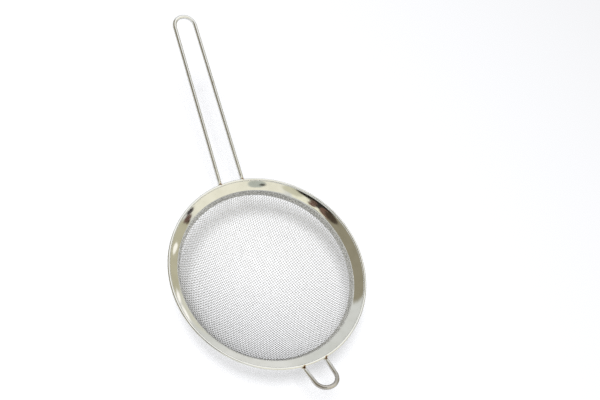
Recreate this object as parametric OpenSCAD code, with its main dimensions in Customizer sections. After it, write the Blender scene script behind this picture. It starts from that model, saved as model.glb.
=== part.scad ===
// Mesh strainer with a polished flanged rim, a long wire handle and a wire rest opposite it.
// Millimetres. The mouth of the bowl is horizontal and faces +Z. The origin is the centre of
// the mouth, level with the top of the rolled edge. The handle runs along +Y, the rest along -Y.

/* [Rim band] */
// Outside diameter over the rolled edge
rim_d = 200; // [150:5:240]
// Diameter of the rolled edge
roll_d = 2.8; // [2.6:0.1:3.6]
// Thickness of the sheet the band is spun from
band_t = 0.8; // [0.6:0.05:1]
// Length of the straight, sloping face of the flange
flange_w = 10; // [8:0.5:14]
// Slope of the flange, down towards the bowl, in degrees
flange_slope = 30; // [20:1:36]
// Radius of the bend between flange and collar, at the middle of the sheet
bend_r = 2; // [1.6:0.1:2.6]
// Length of the collar, which the mesh is clamped against
collar_len = 6; // [5:0.5:9]
// Width of the slit that stays open where the rolled edge closes on the flange
roll_slit = 0.25; // [0.1:0.05:0.4]

/* [Retaining ring] */
// Thickness of the outer ring that clamps the mesh to the collar
ring_t = 0.8; // [0.5:0.05:1.2]
// Width of the retaining ring
ring_w = 5.5; // [4:0.5:8]
// Number of spot welds through ring, mesh and collar
spot_count = 26; // [8:2:30]
// Diameter of the dimple that each spot weld leaves
spot_d = 3; // [2:0.25:3.5]
// Depth of the dimple
spot_depth = 0.15; // [0.1:0.05:0.25]

/* [Mesh bowl] */
// Depth from the mouth to the underside of the mesh
bowl_depth = 68; // [55:1:80]
// Diameter of one mesh wire
mesh_wire_d = 0.5; // [0.3:0.05:0.7]
// Distance from one mesh wire to the next, along the bowl
mesh_pitch = 2.4; // [1.8:0.1:4]
// Turn of the weave against the handle, in degrees
mesh_turn = 11; // [0:1:45]

/* [Handle and rest] */
// Diameter of the wire of the handle and of the rest
rod_d = 4.2; // [3.5:0.1:4.6]
// Reach of the handle past the rim, seen from above
handle_reach = 170; // [110:5:220]
// Rise of the handle, in degrees
handle_rise = 20; // [5:1:28]
// Distance between the two legs of the handle at the rim, between centres
handle_w_rim = 25; // [20:1:34]
// Distance between the two legs at the round end, between centres
handle_w_end = 22; // [16:1:30]
// Reach of the rest past the rim, seen from above
rest_reach = 27; // [24:1:45]
// Rise of the rest, in degrees
rest_rise = 25; // [10:1:28]
// Distance between the two legs of the rest at the rim, between centres
rest_w_rim = 24; // [20:1:30]
// Distance between the two legs of the rest at its round end, between centres
rest_w_end = 21; // [16:1:24]
// Radius of the small bend that each leg has just outside the rim
leg_bend_r = 16; // [10:1:24]

/* [Welds] */
// Length of each weld seam between a leg and the flange
seam_len = 5; // [3:0.5:6]
// Radius of the seam
seam_r = 1.1; // [0.9:0.05:1.3]

/* [Hidden] */

$fn = 96;
// Clearance between pieces that are pressed or welded together
fit = 0.04;
// Clearance between the two layers of mesh wire
layer_gap = 0.02;
// Straight sheet and wire are this much thinner than the bends, and run this far into them
thin = 0.02;
sheet_lap = 0.15;
rod_lap = 0.3;
// A corner that turns less than this many degrees is a ball in place of a bend, and the wire on
// each side ends this far from the middle of the ball
least_turn = 4;
ball_gap = 0.1;
// The slit of the rolled edge starts this far from where the roll leaves the flange
slit_from = 0.25;
// The mesh stops this far short of the collar's top, and its last wire this far from its edge
mesh_short = 0.5;
edge_margin = 1;
// Number of sides of a mesh wire's section
wire_sides = 8;
// Gap between the end of a leg and the retaining ring
leg_gap = 0.4;
// The bend of a leg is centred this far outside the rolled edge
leg_clear = 2.5;
// Half of the short straight at the round end of the handle and of the rest
end_flat = 0.4;
// A weld seam starts this far from the end of its leg
seam_start = 1.2;
// Radius of the seam's blunt ends, length of its tapers, and its depth under the flange's face
seam_end_r = seam_r * 0.5;
seam_taper = seam_r * 0.8;
seam_depth = seam_r * 0.6;
rim_r = rim_d / 2;
roll_r = roll_d / 2;
rod_r = rod_d / 2;

// Section of the rim, in (radius, height). The flange's middle line starts under the roll.
inward = [-cos(flange_slope), -sin(flange_slope)];
upward = [-sin(flange_slope), cos(flange_slope)];
roll_centre = [rim_r - roll_r, -roll_r];
flange_start = roll_centre - upward * (roll_r - band_t / 2);
flange_end = flange_start + inward * flange_w;
bend_centre = flange_end - upward * bend_r;

// The bowl is a ball of radius mesh_r between its two layers of wire, and hangs bowl_depth deep.
// The collar is a straight cone that touches the inside of the ball at its middle, and the bend
// at its top. It stands off the round bowl a little at its two ends.
half_collar = collar_len / 2;
stand_off = pow(half_collar, 2) / rim_d;
collar_offset = mesh_wire_d + layer_gap / 2 + fit + stand_off + band_t / 2;
bend_offset = bend_r - collar_offset;
drop = bend_centre[1] + bowl_depth - mesh_wire_d - layer_gap / 2;
mesh_r = (pow(bend_centre[0], 2) + pow(drop, 2) - pow(bend_offset, 2) - pow(half_collar, 2))
         / (2 * (drop + bend_offset));
ball_z = mesh_r + mesh_wire_d + layer_gap / 2 - bowl_depth;
collar_r = mesh_r - collar_offset;

// Angles are measured at the centre of the ball, from straight down.
collar_angle = atan2(bend_centre[0], ball_z - bend_centre[1])
               - atan(half_collar / (collar_r + bend_r));
top_angle = collar_angle + arc_angle(half_collar, collar_r);
mesh_top_angle = top_angle - arc_angle(mesh_short, mesh_r);
ring_in_r = mesh_r + mesh_wire_d + layer_gap / 2 + fit;
ring_angle = top_angle - arc_angle(ring_w / 2, ring_in_r);

function arc_angle(length, radius) = length / radius * 180 / PI;
function ball_point(radius, angle) = [radius * sin(angle), ball_z - radius * cos(angle)];
function unit(v) = v / norm(v);

// Legs lie under the flange, against it. The end of a leg stops short of the retaining ring.
leg_drop = band_t / 2 + fit + rod_r;
ring_corner = ball_point(ring_in_r + ring_t, ring_angle)
              + [cos(ring_angle), sin(ring_angle)] * ring_w / 2;
leg_end_s = (ring_corner - flange_start) * inward - leg_gap;
leg_out_s = -(roll_r + leg_clear);

// A point of a leg's centre line, at length s along the flange and half the spacing of the legs
function under_flange(s, half_w) =
    let (p = flange_start + inward * s - upward * leg_drop)
    [half_w, sqrt(p[0] * p[0] - half_w * half_w), p[1]];

// Corner points of the handle's centre line, on the side x > 0
handle_in = under_flange(leg_end_s, handle_w_rim / 2);
handle_out = under_flange(leg_out_s, handle_w_rim / 2);
handle_tip_y = rim_r + handle_reach - rod_r * cos(handle_rise);
handle_tip = [handle_w_end / 2, handle_tip_y,
              handle_out[2] + (handle_tip_y - handle_out[1]) * tan(handle_rise)];
handle_end_r = handle_w_end / 2 - end_flat;

// Corner points of the rest, on the side x > 0, before it is turned round to -Y
rest_in = under_flange(leg_end_s, rest_w_rim / 2);
rest_out = under_flange(leg_out_s, rest_w_rim / 2);
rest_tip_y = rim_r + rest_reach - rod_r * cos(rest_rise);
rest_tip = [rest_w_end / 2, rest_tip_y,
            rest_out[2] + (rest_tip_y - rest_out[1]) * tan(rest_rise)];
rest_turn = 90 - asin(-unit(rest_tip - rest_out)[0]);
rest_end_r = (rest_w_end / 2 - end_flat) / tan(rest_turn / 2);

function mirrored(p) = [-p[0], p[1], p[2]];

// A frame of three unit axes at a point, as a matrix
function placed(x, y, z, p) =
    [[x[0], y[0], z[0], p[0]], [x[1], y[1], z[1], p[1]], [x[2], y[2], z[2], p[2]], [0, 0, 0, 1]];
function side_of(v) = unit(cross(abs(v[2]) < 0.9 ? [0, 0, 1] : [1, 0, 0], v));

// A straight round rod from a to b
module rod(a, b, d) {
    z = unit(b - a);
    x = side_of(z);
    multmatrix(placed(x, cross(z, x), z, a)) cylinder(h = norm(b - a), d = d);
}

// Angle between two directions
function turn_of(a, b) = acos(min(1, a * b));

// A wire bent round each inner corner of its path, in one piece
module bent_wire(path, radii, d) {
    last = len(path) - 1;
    dirs = [for (i = [0 : last - 1]) unit(path[i + 1] - path[i])];
    inner_turns = [for (i = [1 : last - 1]) turn_of(dirs[i - 1], dirs[i])];
    turns = concat([0], inner_turns, [0]);
    // Length that each bend takes off the two sides of its corner
    cuts = [for (i = [0 : last]) turns[i] < least_turn ? 0 : radii[i] * tan(turns[i] / 2)];
    // Distance from each corner at which the straights stop
    corner_gaps = [for (i = [1 : last - 1]) turns[i] < least_turn ? ball_gap : cuts[i] - rod_lap];
    stops = concat([0], corner_gaps, [0]);
    for (i = [0 : last - 1])
        rod(path[i] + dirs[i] * stops[i], path[i + 1] - dirs[i] * stops[i + 1], d - thin);
    for (i = [1 : last - 1])
        if (turns[i] < least_turn) {
            translate(path[i]) sphere(d = d);
        } else {
            axis = unit(cross(dirs[i - 1], dirs[i]));
            inner = cross(axis, dirs[i - 1]);
            centre = path[i] - dirs[i - 1] * cuts[i] + inner * radii[i];
            multmatrix(placed(-inner, dirs[i - 1], axis, centre))
                rotate_extrude(angle = turns[i]) translate([radii[i], 0]) circle(d = d);
        }
}

// A flat strip of sheet in the rim's section, along the flange from length s0 to s1
module flange_strip(s0, s1, thickness) {
    translate(flange_start) rotate(180 + flange_slope) translate([s0, -thickness / 2])
        square([s1 - s0, thickness]);
}

// A slice of the plane seen from a point, between two directions in degrees
module slice(centre, from, to, reach) {
    middle = (from + to) / 2;
    wide = reach / cos((to - from) / 2);
    translate(centre) polygon([[0, 0], reach * 2 * [cos(from), sin(from)],
        wide * 2 * [cos(middle), sin(middle)], reach * 2 * [cos(to), sin(to)]]);
}

// The bend in the rim's section, from the flange's direction to the collar's
module bend_strip(from, to) {
    intersection() {
        translate(bend_centre) difference() {
            circle(bend_r + band_t / 2);
            circle(bend_r - band_t / 2);
        }
        slice(bend_centre, from, to, bend_r + band_t);
    }
}

// A straight strip square to a ray of the ball: its middle is at one angle and one radius,
// and it runs on past its top end by lap
module cone_strip(angle, radius, length, thickness, lap) {
    translate(ball_point(radius, angle)) rotate(angle) translate([-length / 2, -thickness / 2])
        square([length + lap, thickness]);
}

// The rolled edge: the sheet turns up and back over, and stops a slit above the flange
module rolled_edge() {
    difference() {
        translate(roll_centre) circle(roll_r);
        translate(roll_centre) circle(roll_r - band_t);
        translate(flange_start) rotate(180 + flange_slope)
            translate([slit_from, -band_t / 2 - roll_slit]) square([roll_d, roll_slit + band_t / 2]);
    }
}

module band_section() {
    rolled_edge();
    flange_strip(0, flange_w + sheet_lap, band_t - thin);
    bend_strip(90 + flange_slope, 90 + collar_angle);
    cone_strip(collar_angle, collar_r, collar_len, band_t - thin, sheet_lap);
}

// Shallow round dimples all round, sunk into a cone that faces a ray of the ball
module spot_dimples(angle, radius) {
    for (i = [0 : spot_count - 1])
        rotate(360 / spot_count * (i + 0.5))
            translate([0, 0, ball_z]) rotate([0, 180 - angle, 0])
                translate([0, 0, radius - spot_depth]) cylinder(h = 2 * spot_depth, d = spot_d);
}

module rim_band() {
    color([0.78, 0.76, 0.70]) difference() {
        rotate_extrude($fn = 180) band_section();
        spot_dimples(collar_angle, collar_r - band_t / 2);
    }
}

module retaining_ring() {
    color([0.66, 0.66, 0.64]) difference() {
        rotate_extrude($fn = 180)
            cone_strip(ring_angle, ring_in_r + ring_t / 2, ring_w, ring_t, 0);
        spot_dimples(ring_angle, ring_in_r + ring_t);
    }
}

// One layer of the mesh: wires in parallel planes, equal steps apart along the bowl
module wire_layer(layer_r) {
    count = floor((layer_r * mesh_top_angle * PI / 180 - edge_margin) / mesh_pitch);
    for (i = [-count : count]) {
        x = layer_r * sin(arc_angle(i * mesh_pitch, layer_r));
        wire_r = sqrt(layer_r * layer_r - x * x);
        half = acos(layer_r * cos(mesh_top_angle) / wire_r);
        translate([x, 0, ball_z]) rotate([0, 90, 0]) rotate(-half)
            rotate_extrude(angle = 2 * half, $fn = 120) translate([wire_r, 0])
                circle(d = mesh_wire_d, $fn = wire_sides);
    }
}

module warp_wires() {
    color([0.72, 0.72, 0.70]) rotate(mesh_turn) wire_layer(mesh_r + layer_gap / 2 + mesh_wire_d / 2);
}

module weft_wires() {
    color([0.76, 0.76, 0.74]) rotate(mesh_turn + 90) wire_layer(mesh_r - layer_gap / 2 - mesh_wire_d / 2);
}

module handle() {
    color([0.70, 0.69, 0.66])
        bent_wire([mirrored(handle_in), mirrored(handle_out), mirrored(handle_tip),
                   handle_tip, handle_out, handle_in],
                  [0, leg_bend_r, handle_end_r, handle_end_r, leg_bend_r, 0], rod_d);
}

module rest_hook() {
    color([0.70, 0.69, 0.66]) rotate(180)
        bent_wire([mirrored(rest_in), mirrored(rest_out), mirrored(rest_tip),
                   rest_tip, rest_out, rest_in],
                  [0, leg_bend_r, rest_end_r, rest_end_r, leg_bend_r, 0], rod_d);
}

// A run of weld metal from the origin up, with tapered ends
module weld_run(length) {
    rotate_extrude($fn = 32) polygon([[0, 0], [seam_end_r, 0], [seam_r, seam_taper],
        [seam_r, length - seam_taper], [seam_end_r, length], [0, length]]);
}

// Two seams, one on each side of a leg, filling the crook between it and the flange
module leg_seams(leg_in, leg_out) {
    along = unit(leg_out - leg_in);
    across = unit(cross(along, [0, 0, 1]));
    down = cross(along, across);
    start = leg_in + along * seam_start - down * (rod_r + fit - seam_depth);
    for (side = [-1, 1])
        difference() {
            multmatrix(placed(across, cross(along, across), along, start + across * side * rod_r))
                weld_run(seam_len);
            rod(leg_in - along, leg_out, rod_d + 2 * fit);
            rotate_extrude($fn = 360) translate(upward * rod_d)
                flange_strip(-roll_d, flange_w + rod_d, 2 * rod_d + band_t + 2 * fit);
        }
}

module handle_welds() {
    color([0.50, 0.44, 0.38]) for (m = [0, 1]) mirror([m, 0, 0]) leg_seams(handle_in, handle_out);
}

module rest_welds() {
    color([0.50, 0.44, 0.38]) rotate(180)
        for (m = [0, 1]) mirror([m, 0, 0]) leg_seams(rest_in, rest_out);
}

rim_band();
retaining_ring();
warp_wires();
weft_wires();
handle();
rest_hook();
handle_welds();
rest_welds();
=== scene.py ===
# %% [markdown]
# A mesh strainer in polished steel
#
# The object is a kitchen strainer: a bowl of woven wire, clamped in a bright rolled rim, with a
# long handle bent from one wire and a short rest opposite it. The engineering model of it is
# loaded first and stays where it is. Everything made below is built around it, in metres, in its
# frame: the mouth of the bowl is level with z = 0, +Z points up out of it, and the handle runs
# along +Y.

# %% Load the engineering model
import math

import bmesh
import bpy
import numpy as np
from mathutils import Matrix, Vector


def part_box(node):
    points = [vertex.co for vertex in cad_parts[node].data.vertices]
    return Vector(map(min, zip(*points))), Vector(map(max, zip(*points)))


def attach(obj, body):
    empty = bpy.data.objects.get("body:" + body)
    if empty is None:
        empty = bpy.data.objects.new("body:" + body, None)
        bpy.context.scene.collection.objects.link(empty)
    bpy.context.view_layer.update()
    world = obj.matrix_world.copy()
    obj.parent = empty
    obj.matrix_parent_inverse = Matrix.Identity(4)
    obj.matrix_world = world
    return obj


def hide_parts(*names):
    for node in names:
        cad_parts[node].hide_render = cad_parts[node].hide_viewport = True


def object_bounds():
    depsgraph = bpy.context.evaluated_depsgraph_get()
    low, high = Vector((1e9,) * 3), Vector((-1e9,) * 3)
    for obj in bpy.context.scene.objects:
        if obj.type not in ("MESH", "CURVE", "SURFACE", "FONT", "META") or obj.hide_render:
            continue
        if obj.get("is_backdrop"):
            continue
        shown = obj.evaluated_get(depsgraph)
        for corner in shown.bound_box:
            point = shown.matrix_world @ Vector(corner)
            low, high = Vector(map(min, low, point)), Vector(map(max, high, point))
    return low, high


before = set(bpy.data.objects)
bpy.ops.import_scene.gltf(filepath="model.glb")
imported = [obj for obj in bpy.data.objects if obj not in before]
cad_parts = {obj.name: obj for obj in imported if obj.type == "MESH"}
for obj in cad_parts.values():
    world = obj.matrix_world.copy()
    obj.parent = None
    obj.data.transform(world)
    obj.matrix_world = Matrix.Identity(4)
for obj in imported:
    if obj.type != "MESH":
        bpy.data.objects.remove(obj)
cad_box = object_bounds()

MM = 0.001
print("nodes:", ", ".join(sorted(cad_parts)))
print("whole model, mm:", [round(c / MM, 1) for c in cad_box[1] - cad_box[0]])

# %% [markdown]
# Sizes
#
# The rim is one strip of sheet, so a few numbers fix its whole section: where the rolled edge
# is, how the flange slopes, how tight the bend is, and how long the collar is. The bowl is part
# of a ball. Its radius is not a free choice: the ball has to touch the outside of the collar,
# and hang as deep as the real bowl does. Working it out here, as the engineering model does,
# keeps the woven wire exactly where the clamping ring holds it.

# %% Section of the rim, and the ball that the bowl is part of
rim_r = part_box("rim_band")[1].x
bowl_depth = -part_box("warp_wires")[0].z
roll_r = 1.4 * MM
sheet_t = 0.8 * MM
slope = math.radians(30)
flange_w = 10 * MM
bend_r = 2 * MM
collar_len = 6 * MM
wire_r = 0.25 * MM
layer_gap = 0.02 * MM
fit = 0.04 * MM


def flat(angle):
    """A direction in the section, as (outwards, up), turned by an angle from outwards."""
    return Vector((math.cos(angle), math.sin(angle)))


inward = -flat(slope)
upward = flat(slope + math.pi / 2)
roll_centre = Vector((rim_r - roll_r, -roll_r))
flange_start = roll_centre - upward * (roll_r - sheet_t / 2)
flange_end = flange_start + inward * flange_w
bend_centre = flange_end - upward * bend_r

stand_off = (collar_len / 2) ** 2 / (2 * rim_r)
collar_offset = 2 * wire_r + layer_gap / 2 + fit + stand_off + sheet_t / 2
drop = bend_centre.y + bowl_depth - 2 * wire_r - layer_gap / 2
ball_r = ((bend_centre.x**2 + drop**2 - (bend_r - collar_offset) ** 2 - (collar_len / 2) ** 2)
          / (2 * (drop + bend_r - collar_offset)))
ball_z = ball_r + 2 * wire_r + layer_gap / 2 - bowl_depth
collar_r = ball_r - collar_offset
collar_angle = (math.atan2(bend_centre.x, ball_z - bend_centre.y)
                - math.atan(collar_len / 2 / (collar_r + bend_r)))
top_angle = collar_angle + collar_len / 2 / collar_r
print("ball radius %.2f mm, centre %.2f mm above the mouth" % (ball_r / MM, ball_z / MM))

# %% [markdown]
# Camera
#
# The picture looks down into the bowl, with the handle going away to the upper left. The camera
# stands about 60 cm from the rim, close enough for the near side to look clearly larger than
# the far side, so its distance and its lens both matter. It is aimed at a point of the mouth's
# plane, and then rolled until the handle leans as it should.

# %% Place the camera
camera_place = Vector((-248.6, -156.8, 529.9)) * MM
camera_target = Vector((61.6, 58.9, 0.0)) * MM
picture_up = Vector((0.2373, 0.8433, 0.4823))
camera_data = bpy.data.cameras.new("camera")
camera_data.lens = 37.3
camera_data.sensor_width = 36
camera_data.clip_start = 10 * MM
camera = bpy.data.objects.new("camera", camera_data)
bpy.context.scene.collection.objects.link(camera)
look = (camera_target - camera_place).normalized()
right = look.cross(picture_up).normalized()
axes = Matrix((right, right.cross(look), -look)).transposed()
camera.matrix_world = Matrix.Translation(camera_place) @ axes.to_4x4()
bpy.context.scene.camera = camera
print("camera %.0f mm from the mouth" % (camera_place.length / MM))

# %% [markdown]
# Shader maths as Python
#
# A finish is a small formula, such as "darker where the noise is high and the weld is near". In
# the node editor each plus and each times is a box with two wires. Wrapping an output socket in a
# class with Python's operators lets the formula be written as a formula, and the nodes appear by
# themselves. Everything that isn't maths comes from one function.

# %% A signal is one output of a shader node
class Signal:
    """One output of a shader node. Python's operators on it add Math nodes."""

    def __init__(self, tree, socket):
        self.tree = tree
        self.socket = socket

    def math(self, operation, *others):
        inputs = dict(enumerate((self, *others)))
        return make(self.tree, "Math", {"operation": operation}, inputs)

    def __add__(self, other):
        return self.math("ADD", other)

    def __sub__(self, other):
        return self.math("SUBTRACT", other)

    def __mul__(self, other):
        return self.math("MULTIPLY", other)

    def __truediv__(self, other):
        return self.math("DIVIDE", other)

    def __pow__(self, other):
        return self.math("POWER", other)

    __radd__ = __add__
    __rmul__ = __mul__

    def between(self, low, high):
        """0 below low, 1 above high, and a smooth step from one to the other."""
        settings = {"interpolation_type": "SMOOTHSTEP"}
        return make(self.tree, "MapRange", settings, {0: self, 1: low, 2: high})


def make(tree, kind, settings, inputs, output=0):
    """Adds a node, with its settings first and then its sockets. Returns one output, if any."""
    node = tree.nodes.new("ShaderNode" + kind)
    for name, value in settings.items():
        if name == "stops":
            fill_ramp(node.color_ramp, value)
        else:
            setattr(node, name, value)
    for name, value in inputs.items():
        if isinstance(value, Signal):
            tree.links.new(value.socket, node.inputs[name])
        else:
            node.inputs[name].default_value = value
    return Signal(tree, node.outputs[output]) if len(node.outputs) else None


def fill_ramp(ramp, stops):
    """Sets a colour ramp to a list of (place, colour)."""
    while len(ramp.elements) < len(stops):
        ramp.elements.new(1.0)
    for element, (place, colour) in zip(ramp.elements, stops):
        element.position = place
        element.color = (*colour, 1.0)


def mixed(share, first, second):
    """A colour between first and second."""
    ends = {0: share, 6: first, 7: second}
    ends = {k: (*v, 1.0) if isinstance(v, tuple) else v for k, v in ends.items()}
    return make(share.tree, "Mix", {"data_type": "RGBA"}, ends, 2)


def scaled(vector, factors):
    """A vector with each of its three parts multiplied."""
    return make(vector.tree, "VectorMath", {"operation": "MULTIPLY"}, {0: vector, 1: factors})


def split(place):
    """The three parts of a vector signal."""
    return [make(place.tree, "SeparateXYZ", {}, {0: place}, axis) for axis in "XYZ"]


def noise(place, per_metre, detail=2.0, roughness=0.5):
    """Soft noise from 0 to 1 with so many bumps in a metre."""
    sockets = {"Vector": place, "Scale": per_metre, "Detail": detail, "Roughness": roughness}
    return make(place.tree, "TexNoise", {}, sockets)


print("shader helpers ready")

# %% [markdown]
# Studio
#
# Polished steel has hardly any colour of its own: it shows what stands round it. Photographers
# place pale and dark cards round such things, and light panels that make small bright spots. A
# flat picture wrapped round the scene could do the same, but it would be a file to carry along.
# Here each card is a circle in the world's shader instead: a direction from the bowl, how far it
# reaches and how soft its edge is in degrees, and a colour. Later cards lie over earlier ones.
# To find where a card belongs, pick a place on the rim and follow the mirror ray from there.
#
# Only mirror rays see the cards. Matt things get a weak even light, and the camera sees white.
# Perfect circles would look drawn, so noise moves the direction a little. The moved direction is
# made one unit long again, or the noise would also change the size of every circle.

# %% Place the cards that the metal sees
def aim(bearing, height):
    """A direction from its bearing about z and its height over the horizon, both in degrees."""
    bearing, height = math.radians(bearing), math.radians(height)
    level = math.cos(height)
    return Vector((level * math.cos(bearing), level * math.sin(bearing), math.sin(height)))


room_light = (0.72, 0.73, 0.71)
surround_colour = (0.17, 0.155, 0.12)

# Each card has a name, a direction, its reach and softness in degrees, and a colour.
cards = [
    ("broad bright card", aim(42, 63), 22, 5, (1.2, 1.2, 1.19)),
    ("white card overhead", aim(-50, 82), 12, 5, (0.95, 0.94, 0.92)),
    ("pale card", aim(46, 13), 13, 6, (0.82, 0.82, 0.80)),
    ("cream card low down", aim(19, 4), 8, 3, (0.71, 0.70, 0.60)),
    ("broad cream card", aim(-62, 39), 34, 4, (0.94, 0.91, 0.77)),
    ("shaded cream card", aim(-2, 20), 17.5, 1.5, (0.54, 0.51, 0.375)),
    ("dark card low down", aim(-6, -9), 14, 3, surround_colour),
    ("broad olive card", aim(150, 38), 36, 2, (0.32, 0.29, 0.21)),
    ("warm card", aim(-140, 60), 13, 2, (0.97, 0.95, 0.77)),
    ("shaded part of the warm card", aim(-112, 66), 6.5, 1, (0.66, 0.64, 0.49)),
    ("dark card under the warm one", aim(-150, 49), 7.5, 1, (0.12, 0.12, 0.105)),
    ("large black card", aim(-151, 77), 10.5, 0.7, (0.012, 0.011, 0.009)),
    ("round black card", aim(-153, 66.5), 4.1, 0.5, (0.03, 0.03, 0.027)),
    ("long black card", aim(-130, 73.5), 7.2, 0.7, (0.012, 0.011, 0.009)),
    ("brown card", aim(-165, 63.5), 5.2, 0.5, (0.18, 0.11, 0.08)),
    ("dark brown card", aim(-174, 64.5), 4.8, 0.5, (0.07, 0.052, 0.036)),
    ("small brown card", aim(-142.5, 66), 2.5, 0.4, (0.13, 0.08, 0.06)),
    ("second small brown card", aim(-142.5, 62), 2.7, 0.4, (0.18, 0.11, 0.085)),
    ("grey-green card", aim(-73, 56.5), 5.2, 0.6, (0.48, 0.51, 0.46)),
    ("dark strip beside it", aim(-80, 57.5), 1.8, 0.4, (0.08, 0.08, 0.07)),
    ("small dark card", aim(-20.5, 36.5), 2.5, 0.4, (0.06, 0.05, 0.052)),
    ("red-brown card", aim(-18, 31), 3.3, 0.4, (0.14, 0.08, 0.065)),
    ("narrow brown card", aim(-18, 27.5), 1.7, 0.4, (0.10, 0.065, 0.05)),
    ("light panel", aim(-2.5, 22), 2.6, 0.6, (1.15, 1.12, 1.03)),
    ("second light panel", aim(15.5, 13.5), 2.3, 0.6, (1.15, 1.12, 1.07)),
    ("third light panel", aim(21, 13.5), 2.3, 0.6, (1.2, 1.17, 1.12)),
]


def facing(direction, towards):
    """Cosine of the angle between a direction signal and a fixed direction."""
    product = {"operation": "DOT_PRODUCT"}
    return make(direction.tree, "VectorMath", product, {0: direction, 1: towards}, 1)


wobble_scale = 9.0
wobble_reach = 0.04
fill_light = 0.20

world = bpy.data.worlds.new("studio")
world.use_nodes = True
world.node_tree.nodes.clear()
air = world.node_tree
towards = make(air, "TexCoord", {}, {}, "Generated")
bumps = {"Vector": towards, "Scale": wobble_scale, "Detail": 2.0}
wobble = make(air, "TexNoise", {}, bumps, "Color")
off_centre = make(air, "VectorMath", {"operation": "SUBTRACT"}, {0: wobble, 1: (0.5, 0.5, 0.5)})
ends = {0: towards, 1: scaled(off_centre, (wobble_reach,) * 3)}
moved = make(air, "VectorMath", {"operation": "ADD"}, ends)
moved = make(air, "VectorMath", {"operation": "NORMALIZE"}, {0: moved})
room = make(air, "RGB", {}, {})
room.socket.default_value = (*room_light, 1.0)
for name, middle, reach, soft, colour in cards:
    outer = math.cos(math.radians(reach + soft))
    inner = math.cos(math.radians(reach - soft))
    room = mixed(facing(moved, middle).between(outer, inner), room, colour)
glossy = make(air, "LightPath", {}, {}, "Is Glossy Ray")
camera_sees = make(air, "LightPath", {}, {}, "Is Camera Ray")
plain = mixed(camera_sees, (fill_light,) * 3, (1.0, 1.0, 1.0))
seen = mixed(glossy, plain, room)
sky = make(air, "Background", {}, {"Color": seen, "Strength": 1.0})
make(air, "OutputWorld", {}, {"Surface": sky})
bpy.context.scene.world = world
print("the metal sees %d cards:" % len(cards), ", ".join(card[0] for card in cards))

# %% [markdown]
# Floor and lamp
#
# The floor has to look pure white and still keep the strainer's soft shadow. A white surface that
# is only lit never does both. So the floor also gives off some light, which lights nothing, and
# which only the camera, metal and glass see. The light that the floor takes from the lamp makes
# the shadow. The metal sees less of the glow than the camera does, so that it stays darker than
# the floor. And for the metal alone, the white ends some way out on the +X side and a dark
# surface follows, which gives that side of the rim its depth.
#
# One round lamp hangs about 20 degrees from overhead, towards -X. The metal doesn't see it,
# because the cards alone say what is bright in the metal.
#
# The mesh has wires thinner than a pixel. The denoiser takes them for noise and wipes them out,
# so it is switched off. A little grain is left, which does less harm.

# %% Lay the floor and hang the lamp
floor_size = 6.0
floor_glow = 0.43
floor_in_metal = 0.6
sheet_edge = (0.17, 0.33)
floor_colour = (0.86, 0.87, 0.9)

floor_mesh = bmesh.new()
below = Matrix.Translation((0, 0, cad_box[0].z))
bmesh.ops.create_grid(floor_mesh, x_segments=1, y_segments=1, size=floor_size / 2, matrix=below)
floor_data = bpy.data.meshes.new("floor")
floor_mesh.to_mesh(floor_data)
floor_mesh.free()
floor = bpy.data.objects.new("floor", floor_data)
bpy.context.scene.collection.objects.link(floor)

paper = bpy.data.materials.new("floor")
paper.use_nodes = True
paper.node_tree.nodes.clear()
sheet = paper.node_tree
matt = make(sheet, "BsdfDiffuse", {}, {"Color": (*floor_colour, 1.0)})
glow = make(sheet, "Emission", {}, {"Color": (1, 1, 1, 1), "Strength": floor_glow})
camera_ray = make(sheet, "LightPath", {}, {}, "Is Camera Ray")
mirror_ray = make(sheet, "LightPath", {}, {}, "Is Glossy Ray")
glass_ray = make(sheet, "LightPath", {}, {}, "Is Transmission Ray")
shown = (camera_ray + mirror_ray * floor_in_metal + glass_ray).math("MINIMUM", 1.0)
hidden = make(sheet, "Emission", {}, {"Strength": 0.0})
given = make(sheet, "MixShader", {}, {0: shown, 1: hidden, 2: glow})
both = make(sheet, "AddShader", {}, {0: matt, 1: given})
dark = make(sheet, "Emission", {}, {"Color": (*surround_colour, 1.0), "Strength": 1.0})
where = make(sheet, "TexCoord", {}, {}, "Object")
past_edge = split(where)[0].between(*sheet_edge) * mirror_ray
seen_floor = make(sheet, "MixShader", {}, {0: past_edge, 1: both, 2: dark})
make(sheet, "OutputMaterial", {}, {"Surface": seen_floor})
floor_data.materials.append(paper)
floor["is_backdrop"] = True


def hang_lamp(name, towards_lamp, distance, width, power):
    """A round soft lamp that faces the bowl and isn't seen in the metal."""
    data = bpy.data.lights.new(name, "AREA")
    data.shape = "DISK"
    data.size = width
    data.energy = power
    lamp = bpy.data.objects.new(name, data)
    place = Vector(towards_lamp).normalized() * distance
    turn = place.to_track_quat("Z", "Y").to_matrix().to_4x4()
    lamp.matrix_world = Matrix.Translation(place) @ turn
    lamp.visible_glossy = False
    bpy.context.scene.collection.objects.link(lamp)


hang_lamp("main_lamp", (-0.35, -0.005, 1.0), distance=3.0, width=0.9, power=53)
bpy.context.scene.view_settings.view_transform = "Standard"
bpy.context.scene.cycles.use_denoising = False
print("floor at %.1f mm" % (cad_box[0].z / MM))

# %% [markdown]
# Finishes
#
# Every metal part here is stainless steel, but no two look the same. The rim is polished sheet:
# the wheel that polished it left very fine lines that run round it, and the sheet is never quite
# flat, which bends the reflections. The wire of the handle is drawn, so its marks run along it,
# and welding left brown and straw-coloured rings where the legs meet the rim. The mesh wire is
# bright and plain.
#
# The heat tint depends on the distance to the nearest weld, with some noise, measured in the
# part's own coordinates. So one colour ramp serves the rim and both wires.

# %% Start a finish, and tint it near the welds
def new_finish(name):
    """A material with an empty node tree, and its place signal in metres."""
    material = bpy.data.materials.new(name)
    material.use_nodes = True
    material.node_tree.nodes.clear()
    place = make(material.node_tree, "TexCoord", {}, {}, "Object")
    return material, place


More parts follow.
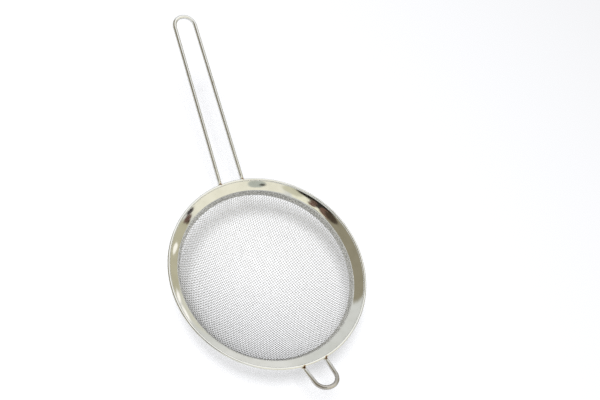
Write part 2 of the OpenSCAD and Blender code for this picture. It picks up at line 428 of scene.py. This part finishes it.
def steel(tree, colour, roughness, height, depth):
    """Metal whose colour, roughness and fine relief are given as signals or values."""
    bump = make(tree, "Bump", {}, {"Height": height, "Distance": depth, "Strength": 1.0})
    sockets = {"Base Color": colour, "Metallic": 1.0, "Roughness": roughness, "Normal": bump}
    shader = make(tree, "BsdfPrincipled", {}, sockets)
    make(tree, "OutputMaterial", {}, {"Surface": shader})


handle_leg_x = 12.5 * MM
rest_leg_x = 12.0 * MM
leg_exit_y = 99.0 * MM
tint_edge = 0.7
tint_stops = [
    (0.0, (0.035, 0.02, 0.016)),
    (0.28, (0.16, 0.075, 0.045)),
    (0.5, (0.45, 0.27, 0.16)),
    (0.72, (0.74, 0.66, 0.52)),
    (1.0, (1.0, 1.0, 1.0)),
]


def burnt(place, reach, uneven):
    """A colour to multiply by: dark at the welds, brown and straw round them, white elsewhere."""
    x, y, _ = split(place)
    across = x.math("ABSOLUTE")
    to_handle = ((across - handle_leg_x) ** 2.0 + (y - leg_exit_y) ** 2.0) ** 0.5
    to_rest = ((across - rest_leg_x) ** 2.0 + (y + leg_exit_y) ** 2.0) ** 0.5
    nearest = to_handle.math("MINIMUM", to_rest) / reach + (uneven - 0.5) * tint_edge
    return make(place.tree, "ValToRGB", {"stops": tint_stops}, {0: nearest})


def times(first, second):
    """The product of two colours."""
    settings = {"data_type": "RGBA", "blend_type": "MULTIPLY"}
    return make(first.tree, "Mix", settings, {0: 1.0, 6: first, 7: second}, 2)


print("the heat tint goes through %d colours" % len(tint_stops))

# %% [markdown]
# Polished sheet
#
# Lines that run round a ring are often made with an angle, which has a jump where a full turn
# ends. Noise that changes fast with the radius and the height, and slowly with x and y, has the
# same look and no jump anywhere.
#
# The collar is the same sheet as the flange, but a tool has pressed it against the mesh, and it
# is rougher and mottled. The height of a place tells which of the two it belongs to.

# %% Polished rim and plain ring
collar_top = bend_centre.y + bend_r * math.cos(collar_angle)


def round_lines(place, fine, slow):
    """Noise drawn out along circles about the z axis."""
    x, y, z = split(place)
    radius = (x * x + y * y) ** 0.5
    sockets = {0: x * slow, 1: y * slow, 2: (radius + z * 0.7) * fine}
    stretched = make(place.tree, "CombineXYZ", {}, sockets)
    return noise(stretched, 1.0, 3.0, 0.6)


def collar_mask(place):
    """1 on the collar, 0 on the flange and the roll."""
    z = split(place)[2]
    return (z * -1.0).between(-collar_top - 0.5 * MM, -collar_top + 0.7 * MM)


def polished_band():
    """The rim's bright sheet, with polishing lines, smudges and a slight waviness."""
    material, place = new_finish("polished_band")
    lines = round_lines(place, 9000.0, 60.0)
    smudge = noise(place, 90.0, 4.0, 0.55)
    wave = noise(place, 38.0, 1.0, 0.4)
    tint = burnt(place, 1.7 * MM, noise(place, 900.0))
    steel_colour = mixed(smudge.between(0.35, 0.75), (0.86, 0.86, 0.83), (0.79, 0.79, 0.75))
    pressed = collar_mask(place)
    mottled = noise(place, 650.0, 2.0, 0.6).between(0.35, 0.65)
    dulled = mixed(mottled, (0.42, 0.42, 0.39), (0.70, 0.69, 0.65))
    steel_colour = mixed(pressed, steel_colour, dulled)
    roughness = 0.05 + smudge.between(0.45, 0.8) * 0.05 + lines * 0.04 + pressed * 0.13
    height = lines * 0.004 + wave
    steel(place.tree, times(steel_colour, tint), roughness, height, 0.12 * MM)
    return material


def ring_steel():
    """The clamping ring's rolled strip, a little duller than the rim."""
    material, place = new_finish("ring_steel")
    lines = round_lines(place, 6000.0, 40.0)
    smudge = noise(place, 120.0, 4.0, 0.6)
    colour = mixed(smudge, (0.60, 0.60, 0.58), (0.72, 0.72, 0.70))
    steel(place.tree, colour, 0.24 + smudge * 0.12 + lines * 0.08, lines, 0.01 * MM)
    return material


finishes = {"polished_band": polished_band(), "ring_steel": ring_steel()}
print("finishes:", ", ".join(finishes))

# %% [markdown]
# Drawn wire and weld metal
#
# The handle's wire carries its own length as an attribute, laid down while it is bent. Noise that
# reads this length slowly, and the way round the wire fast, gives marks that follow the wire
# through its bends. The rest is bent from the same wire, and its colour carries painted shade: it
# is darker and browner than the handle, most of all along the streaks.
#
# The mesh wire has painted shade: its colour is darker on the side of the bowl towards -X and -Y
# than on the other.
# The weld metal is lumpy, and burnt brown to blue.

# %% Wire and weld finishes
def rod_steel():
    """The drawn wire of the handle and the rest, with streaks, dull patches, a heat tint, and
    painted shade that darkens the rest.
    """
    material, place = new_finish("rod_steel")
    tree = place.tree
    along = make(tree, "Attribute", {"attribute_name": "along"}, {}, "Fac")
    around = make(tree, "Attribute", {"attribute_name": "around"}, {}, "Vector")
    run = make(tree, "CombineXYZ", {}, {0: along * 40.0})
    on_wire = {0: scaled(around, (2.2,) * 3), 1: run}
    streak_place = make(tree, "VectorMath", {"operation": "ADD"}, on_wire)
    streaks = noise(streak_place, 1.0, 4.0, 0.6)
    patches = noise(place, 160.0, 3.0, 0.5)
    tint = burnt(place, 2.4 * MM, noise(place, 700.0))
    brown = patches.between(0.58, 0.72) * streaks.between(0.45, 0.7)
    colour = mixed(brown, (0.84, 0.84, 0.82), (0.52, 0.48, 0.39))
    # Painted shade: past y = -100 mm, on the rest, the colour is pulled towards a dark brown.
    rest_painted_shade = split(place)[1].between(-100.0 * MM, -122.0 * MM)
    colour = mixed(rest_painted_shade * (streaks * 1.6 - 0.1), colour, (0.38, 0.34, 0.30))
    roughness = 0.15 + streaks.between(0.3, 0.8) * 0.10 + brown * 0.10
    steel(tree, times(colour, tint), roughness, streaks, 0.02 * MM)
    return material


def mesh_wire():
    """Bright drawn wire, slightly uneven along its length, with painted shade that darkens one
    side of the bowl.
    """
    material, place = new_finish("mesh_wire")
    uneven = noise(place, 220.0, 2.0, 0.5)
    x, y, _ = split(place)
    # Painted shade: the wire's colour is darkened towards -X and -Y of the bowl, and kept bright
    # on the other side.
    painted_light_side = (x * 0.6 + y * 0.8).between(-0.75 * rim_r, 0.6 * rim_r)
    bright = painted_light_side * 0.75 + uneven * 0.25
    colour = mixed(bright, (0.32, 0.32, 0.315), (0.90, 0.90, 0.89))
    grain = noise(place, 4000.0, 1.0, 0.5)
    steel(place.tree, colour, 0.22 + uneven * 0.12, grain, 0.004 * MM)
    return material


def weld_metal():
    """Melted metal beside the legs: dull, rippled and burnt brown to blue."""
    material, place = new_finish("weld_metal")
    lumps = noise(place, 900.0, 3.0, 0.6)
    stops = [(0.25, (0.10, 0.07, 0.06)), (0.5, (0.34, 0.24, 0.17)), (0.75, (0.30, 0.31, 0.36))]
    colour = make(place.tree, "ValToRGB", {"stops": stops}, {0: lumps})
    steel(place.tree, colour, 0.35 + lumps * 0.2, lumps, 0.25 * MM)
    return material


finishes.update(rod_steel=rod_steel(), mesh_wire=mesh_wire(), weld_metal=weld_metal())
print("finishes:", ", ".join(finishes))

# %% [markdown]
# From a bmesh to a piece
#
# Every piece ends the same way: its doubles are merged, its normals are made to point outwards, it
# gets its finish, it is hung under the body that it moves with, and the engineering nodes that it
# stands for are hidden.

# %% One function that ends every piece
def dress(name, mesh, slot, *nodes):
    """Turns a bmesh into a shaded piece that stands for some of the model's nodes."""
    bmesh.ops.remove_doubles(mesh, verts=mesh.verts, dist=1e-6)
    bmesh.ops.recalc_face_normals(mesh, faces=mesh.faces)
    data = bpy.data.meshes.new(name)
    mesh.to_mesh(data)
    mesh.free()
    data.shade_smooth()
    data.materials.append(finishes[slot])
    piece = bpy.data.objects.new(name, data)
    bpy.context.scene.collection.objects.link(piece)
    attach(piece, "root")
    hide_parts(*nodes)
    print("%s: %d faces" % (name, len(data.polygons)))
    return piece


# %% [markdown]
# Rim
#
# The real rim is spun on a lathe from a strip of sheet, and the same idea works here. The middle
# line of the sheet is drawn once, across the handle: the roll, the flange, the bend and the
# straight collar. It starts as a single vertex that is swept on, since a spin of a vertex draws
# an arc, and a spin with no angle and a step draws a straight. That line is then spun a full
# turn about z, and a Solidify modifier gives the sheet its thickness.

# %% Draw a line by sweeping whatever is at its end
class Sweep:
    """Carries the open end of a mesh, a vertex or a ring, along straights and bends."""

    def __init__(self, mesh, end):
        self.mesh = mesh
        self.end = end

    def spin(self, angle, steps, centre, axis, step):
        """Sweeps the end on and remembers the new end."""
        result = bmesh.ops.spin(self.mesh, geom=self.end, cent=centre, axis=axis, dvec=step,
                                angle=angle, steps=steps, use_merge=False)
        self.end = result["geom_last"]

    def straight(self, step, steps=1):
        self.spin(0.0, steps, Vector(), Vector((0, 0, 1)), Vector(step) / steps)

    def bend(self, angle, steps, centre, axis):
        self.spin(angle, steps, centre, axis, Vector())


def in_section(point):
    """A point of the rim's section, as (radius, height), in the plane x, z."""
    return Vector((point[0], 0.0, point[1]))


def turn_round(mesh, sectors, steps):
    """Spins all that a mesh holds a full turn about z, as one sector and copies of it."""
    part = math.tau / sectors
    bmesh.ops.spin(mesh, geom=mesh.verts[:] + mesh.edges[:], cent=(0, 0, 0), axis=(0, 0, 1),
                   angle=part, steps=steps, use_merge=False)
    bmesh.ops.spin(mesh, geom=mesh.verts[:] + mesh.edges[:] + mesh.faces[:], cent=(0, 0, 0),
                   axis=(0, 0, 1), angle=math.tau - part, steps=sectors - 1, use_duplicate=True)
    bmesh.ops.remove_doubles(mesh, verts=mesh.verts, dist=1e-6)


def thicken(piece, thickness, edge):
    """Gives a spun line the thickness of sheet, and takes the sharpness off its cut edges."""
    wall = piece.modifiers.new("sheet", "SOLIDIFY")
    wall.thickness = thickness
    wall.offset = 0.0
    wall.use_even_offset = True
    eased = piece.modifiers.new("eased_edges", "BEVEL")
    eased.width = edge
    eased.segments = 2
    eased.limit_method = "ANGLE"
    eased.angle_limit = math.radians(50)


# %% [markdown]
# A flange that is straight in section mirrors nearly one spot of the room over its whole width,
# and turns bright or dark all at once. The real one shows a wider strip, so it must be slightly
# crowned. Here it is part of a large circle that just touches the circles of the roll and of the
# bend, and its lean changes by a few degrees on the way. It stays within 0.2 mm of straight.

# %% Draw the rim's section and spin it
sectors = 24
sector_steps = 30
roll_steps = 26
crown_steps = 10
bend_steps = 8
collar_steps = 8
slit_angle = math.radians(74)
section_axis = Vector((0, -1, 0))
roll_line_r = roll_r - sheet_t / 2
crown_r = 82 * MM


def touching(first, first_r, second, second_r):
    """The lower of the two points that are at given distances from two other points."""
    span = second - first
    along = (first_r**2 - second_r**2 + span.length_squared) / (2 * span.length)
    aside = math.sqrt(first_r**2 - along**2)
    across = Vector((-span.y, span.x)).normalized()
    return first + span.normalized() * along + across * aside


def turned(direction):
    """The angle of a direction in the section, from outwards."""
    return math.atan2(direction.y, direction.x)


crown_centre = touching(roll_centre, crown_r + roll_line_r, bend_centre, crown_r - bend_r)
roll_end = turned(crown_centre - roll_centre)
crown_end = turned(bend_centre - crown_centre)
roll_from = roll_centre + flat(slope - math.pi / 2 - slit_angle) * roll_line_r
collar_down = -flat(collar_angle)

rim = bmesh.new()
line = Sweep(rim, [rim.verts.new(in_section(roll_from))])
rolled = (slope - math.pi / 2 - slit_angle - roll_end) % math.tau
line.bend(-rolled, roll_steps, in_section(roll_centre), section_axis)
crown_turn = crown_end - roll_end - math.pi
line.bend(crown_turn, crown_steps, in_section(crown_centre), section_axis)
bend_turn = collar_angle + math.pi / 2 - crown_end
line.bend(bend_turn, bend_steps, in_section(bend_centre), section_axis)
line.straight(in_section(collar_down * collar_len), collar_steps)
print("section has %d points" % len(rim.verts))
print("flange leans from %.1f to %.1f degrees"
      % (math.degrees(roll_end) + 90, math.degrees(crown_end) - 90))
turn_round(rim, sectors, sector_steps)

# %% [markdown]
# Spot welds
#
# The collar, the mesh and the outer ring are joined by a row of spot welds, and each leaves a
# shallow dimple where the electrode pressed. The vertices under each dimple are pushed along
# the ball's own radius, deepest in the middle and not at all at its edge.

# %% Press the dimples, and finish the rim
spot_count = 26
spot_r = 1.5 * MM
spot_depth = 0.15 * MM
push_on_collar = 0.8
push_on_ring = -1.0
cut_edge = 0.1 * MM
ball_centre = Vector((0, 0, ball_z))


def ball_point(radius, angle, bearing):
    """A point at some angle from straight down, seen from the ball's centre, on some bearing."""
    away = radius * math.sin(angle)
    height = ball_z - radius * math.cos(angle)
    return Vector((away * math.cos(bearing), away * math.sin(bearing), height))


def press_spots(mesh, radius, angle, push):
    """Pushes a row of dimples into a band: outwards if push is over 0, and inwards if under."""
    near = [v for v in mesh.verts if abs((v.co - ball_centre).length - radius) < spot_r]
    for k in range(spot_count):
        spot = ball_point(radius, angle, math.tau / spot_count * (k + 0.5))
        for v in near:
            share = (v.co - spot).length / spot_r
            if share < 1:
                depth = push * spot_depth * (1 - share**2) ** 2
                v.co += (v.co - ball_centre).normalized() * depth


press_spots(rim, collar_r, collar_angle, push_on_collar)
rim_piece = dress("rim", rim, "polished_band", "rim_band")
thicken(rim_piece, sheet_t, cut_edge)

# %% [markdown]
# Clamping ring
#
# Outside the collar, and hidden from above, a plain strip holds the edge of the mesh. It is a
# single straight line of the section, spun like the rim.

# %% Spin the ring
ring_t = 0.8 * MM
ring_w = 5.5 * MM
ring_in_r = ball_r + 2 * wire_r + layer_gap / 2 + fit
ring_angle = top_angle - ring_w / 2 / ring_in_r
ring_line_r = ring_in_r + ring_t / 2
ring_middle = Vector((math.sin(ring_angle), -math.cos(ring_angle))) * ring_line_r
ring_middle.y += ball_z
ring = bmesh.new()
strip = Sweep(ring, [ring.verts.new(in_section(ring_middle - flat(ring_angle) * ring_w / 2))])
strip.straight(in_section(flat(ring_angle) * ring_w), collar_steps)
turn_round(ring, sectors, sector_steps)
press_spots(ring, ring_line_r, ring_angle, push_on_ring)
ring_piece = dress("clamping_ring", ring, "ring_steel", "retaining_ring")
thicken(ring_piece, ring_t, cut_edge)

# %% [markdown]
# Woven bowl
#
# In a plain weave each wire goes over one wire and under the next. Laying flat cloth on a ball
# and projecting it would stretch it, so the wires are laid on the ball directly: the ones of a
# set lie in parallel planes, an equal step apart along the bowl. Each wire starts as a six-sided
# ring that is spun through its arc. Then every vertex is moved in or out along the ball's radius
# by a cosine that passes zero between the crossings. A wire and the next one of its set have
# opposite signs, and so have the two sets, and that is all that makes them interlace.
#
# Each set is made as two halves, so that no piece gets too heavy. The wires cast no shadow. The
# lamp is small in the sky, and with the shadow of the wires a grey patch would lie on the floor
# that is seen through the mesh. The rim's shadow alone looks right.

# %% Lay the wires, and weave them
pitch = 2.4 * MM
weave_turn = math.radians(11)
edge_short = 0.5 * MM
edge_margin = 1.0 * MM
mesh_top_angle = top_angle - edge_short / ball_r
wire_count = math.floor((ball_r * mesh_top_angle - edge_margin) / pitch)
steps_per_crossing = 4
steps_per_link = 16
wire_sides = 6
wave_height = wire_r + layer_gap / 4


def lay_wire(number):
    """One wire as a plain arc, in the plane x = constant, before it is woven. Returns its mesh."""
    x = ball_r * math.sin(number * pitch / ball_r)
    arc_r = math.sqrt(ball_r**2 - x**2)
    half = math.acos(ball_r * math.cos(mesh_top_angle) / arc_r)
    steps = 2 * half * arc_r / pitch * steps_per_crossing
    links = max(2, round(steps / steps_per_link))
    link_angle = 2 * half / links
    centre = Vector((x, 0, ball_z))
    start = Matrix.Translation(centre) @ Matrix.Rotation(-half, 4, "X")
    start = start @ Matrix.Translation((0, 0, -arc_r)) @ Matrix.Rotation(math.pi / 2, 4, "X")
    wire = bmesh.new()
    bmesh.ops.create_circle(wire, segments=wire_sides, radius=wire_r, matrix=start)
    link = Sweep(wire, wire.verts[:] + wire.edges[:])
    link.bend(link_angle, steps_per_link, centre, Vector((1, 0, 0)))
    bmesh.ops.spin(wire, geom=wire.verts[:] + wire.edges[:] + wire.faces[:], cent=centre,
                   axis=(1, 0, 0), angle=link_angle * (links - 1), steps=links - 1,
                   use_duplicate=True)
    bmesh.ops.remove_doubles(wire, verts=wire.verts, dist=1e-6)
    bmesh.ops.holes_fill(wire, edges=wire.edges, sides=wire_sides)
    return wire


def weave(data, numbers, sign):
    """Moves each vertex in or out, by which wire it is on and where it crosses the other set."""
    count = len(data.vertices)
    places = np.empty(count * 3)
    data.vertices.foreach_get("co", places)
    places = places.reshape(count, 3)
    from_centre = places - np.array(ball_centre)
    far = np.linalg.norm(from_centre, axis=1)
    crossing = np.arcsin(np.clip(from_centre[:, 1] / ball_r, -1, 1)) * ball_r / pitch
    parity = np.where(numbers % 2 == 0, 1, -1)
    shift = sign * wave_height * np.cos(np.pi * crossing) * parity
    places += from_centre / far[:, None] * shift[:, None]
    data.vertices.foreach_set("co", places.ravel())


def wire_set(name, numbers, turn, sign, node):
    """A group of wires of one set, woven, turned to its place and dressed."""
    group = bmesh.new()
    owner = []
    for number in numbers:
        wire = lay_wire(number)
        data = bpy.data.meshes.new("wire")
        wire.to_mesh(data)
        wire.free()
        owner += [number] * len(data.vertices)
        group.from_mesh(data)
        bpy.data.meshes.remove(data)
    data = bpy.data.meshes.new("wires")
    group.to_mesh(data)
    group.clear()
    weave(data, np.array(owner), sign)
    group.from_mesh(data)
    bpy.data.meshes.remove(data)
    bmesh.ops.rotate(group, verts=group.verts, cent=(0, 0, 0),
                     matrix=Matrix.Rotation(turn, 3, "Z"))
    cloth = dress(name, group, "mesh_wire", node)
    cloth.visible_shadow = False


lower_half = range(-wire_count, 0)
upper_half = range(0, wire_count + 1)
wire_set("warp_wires_left", lower_half, weave_turn, 1, "warp_wires")
wire_set("warp_wires_right", upper_half, weave_turn, 1, "warp_wires")
wire_set("weft_wires_near", lower_half, weave_turn + math.pi / 2, -1, "weft_wires")
wire_set("weft_wires_far", upper_half, weave_turn + math.pi / 2, -1, "weft_wires")
print("%d wires in each set" % (2 * wire_count + 1))

# %% [markdown]
# Handle and rest
#
# Both are one piece of wire each. The real wire is bent over round jaws, so it has straights and
# arcs, and no other curves. A ring of vertices stands for the wire's end. It is carried along the
# straights and spun through the bends, and notes how far it has come in an attribute called
# along, and which side of the wire each vertex is on in one called around.

# %% Bend a wire
rod_r = 2.1 * MM
ring_sides = 32
degrees_per_step = 4
straight_steps = 6
eased_end = 0.4 * MM


def bend_wire(name, corners, bend_radii, node):
    """A round wire through straights and arcs, with its two ends a little eased."""
    mesh = bmesh.new()
    along = mesh.verts.layers.float.new("along")
    around = mesh.verts.layers.float_vector.new("around")
    ways = [(b - a).normalized() for a, b in zip(corners, corners[1:])]
    start = Matrix.Translation(corners[0]) @ ways[0].to_track_quat("Z", "X").to_matrix().to_4x4()
    bmesh.ops.create_circle(mesh, segments=ring_sides, radius=rod_r, matrix=start)
    for k, v in enumerate(mesh.verts):
        angle = math.tau * k / ring_sides
        v[around] = Vector((math.cos(angle), math.sin(angle), 0))
    end = Sweep(mesh, list(mesh.verts) + list(mesh.edges))

    def go_on(length, move):
        before = [v for v in end.end if isinstance(v, bmesh.types.BMVert)][0][along]
        move()
        for v in end.end:
            if isinstance(v, bmesh.types.BMVert):
                v[along] = before + length

    used = 0.0
    for i, way in enumerate(ways):
        last = i == len(ways) - 1
        turn = 0.0 if last else way.angle(ways[i + 1])
        cut = 0.0 if last else bend_radii[i] * math.tan(turn / 2)
        length = (corners[i + 1] - corners[i]).length - used - cut
        part = length / straight_steps
        for step in range(straight_steps):
            go_on(part, lambda: end.straight(way * part))
        if not last:
            axis = way.cross(ways[i + 1]).normalized()
            centre = corners[i + 1] - way * cut + axis.cross(way) * bend_radii[i]
            steps = max(2, math.ceil(math.degrees(turn) / degrees_per_step))
            for step in range(steps):
                go_on(bend_radii[i] * turn / steps,
                      lambda: end.bend(turn / steps, 1, centre, axis))
        used = cut
    bmesh.ops.holes_fill(mesh, edges=mesh.edges, sides=ring_sides)
    caps = [f for f in mesh.faces if len(f.verts) == ring_sides]
    rims = list({e for f in caps for e in f.edges})
    bmesh.ops.bevel(mesh, geom=rims, offset=eased_end, offset_type="OFFSET", segments=3,
                    profile=0.5, affect="EDGES", material=-1)
    dress(name, mesh, "rod_steel", node)


# %% [markdown]
# The legs lie under the flange and touch it. A point of a leg's middle line is found by going
# down the slope of the flange, then away from its face by half the sheet and half the wire. Just
# outside the rim each leg bends to its own rise and runs on to the round end. The rest is made
# like the handle, only shorter and steeper, and then turned half round.

# %% Find the corners and bend both wires
leg_gap = 0.4 * MM
leg_clear = 2.5 * MM
end_flat = 0.4 * MM
leg_drop = sheet_t / 2 + fit + rod_r
leg_bend_r = 16 * MM
handle_end_x = 11 * MM
handle_reach = 170 * MM
handle_rise = math.radians(20)
rest_end_x = 10.5 * MM
rest_reach = 27 * MM
rest_rise = math.radians(25)
mirror_x = Vector((-1, 1, 1))

ring_corner = Vector((math.sin(ring_angle), -math.cos(ring_angle))) * (ring_in_r + ring_t)
ring_corner += Vector((0, ball_z)) + flat(ring_angle) * ring_w / 2
leg_end_s = (ring_corner - flange_start).dot(inward) - leg_gap
leg_out_s = -(roll_r + leg_clear)


def under_flange(s, half_w):
    """A point of a leg's middle line, so far down the slope and so far from the plane x = 0."""
    p = flange_start + inward * s - upward * leg_drop
    return Vector((half_w, math.sqrt(p.x**2 - half_w**2), p.y))


def wire_loop(name, half_rim, half_end, reach, rise, turn, node):
    """A wire from under the flange, out to its round end and back under the flange."""
    inner = under_flange(leg_end_s, half_rim)
    outer = under_flange(leg_out_s, half_rim)
    tip_y = rim_r + reach - rod_r * math.cos(rise)
    tip = Vector((half_end, tip_y, outer.z + (tip_y - outer.y) * math.tan(rise)))
    end_turn = (tip - outer).angle(Vector((-1, 0, 0)))
    end_r = (half_end - end_flat) / math.tan(end_turn / 2)
    one_side = [tip, outer, inner]
    corners = [p * mirror_x for p in reversed(one_side)] + one_side
    placed = [Matrix.Rotation(turn, 4, "Z") @ p for p in corners]
    bend_wire(name, placed, [leg_bend_r, end_r, end_r, leg_bend_r], node)
    print("%s: round end of radius %.1f mm" % (name, end_r / MM))


wire_loop("handle_wire", handle_leg_x, handle_end_x, handle_reach, handle_rise, 0.0, "handle")
wire_loop("rest_wire", rest_leg_x, rest_end_x, rest_reach, rest_rise, math.pi, "rest_hook")

# %% [markdown]
# Welds
#
# The seams beside the legs are small, and lie in the crook under the flange. Their engineering
# shapes are right, so they stay, and only get the burnt finish.

# %% Give the seams their finish
for name in ("handle_welds", "rest_welds"):
    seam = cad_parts[name]
    seam.data.materials.clear()
    seam.data.materials.append(finishes["weld_metal"])
    print("%s: %d faces" % (name, len(seam.data.polygons)))

# %% [markdown]
#
# Both boxes are printed: the engineering model's and the dressed strainer's. The dressed strainer
# must not be larger than the engineering model.

# %% Print both boxes
final_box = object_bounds()
boxes = {"cad": [list(c) for c in cad_box], "visual": [list(c) for c in final_box]}
for label, (low, high) in boxes.items():
    print(label, [round(c / MM, 2) for c in low], [round(c / MM, 2) for c in high])
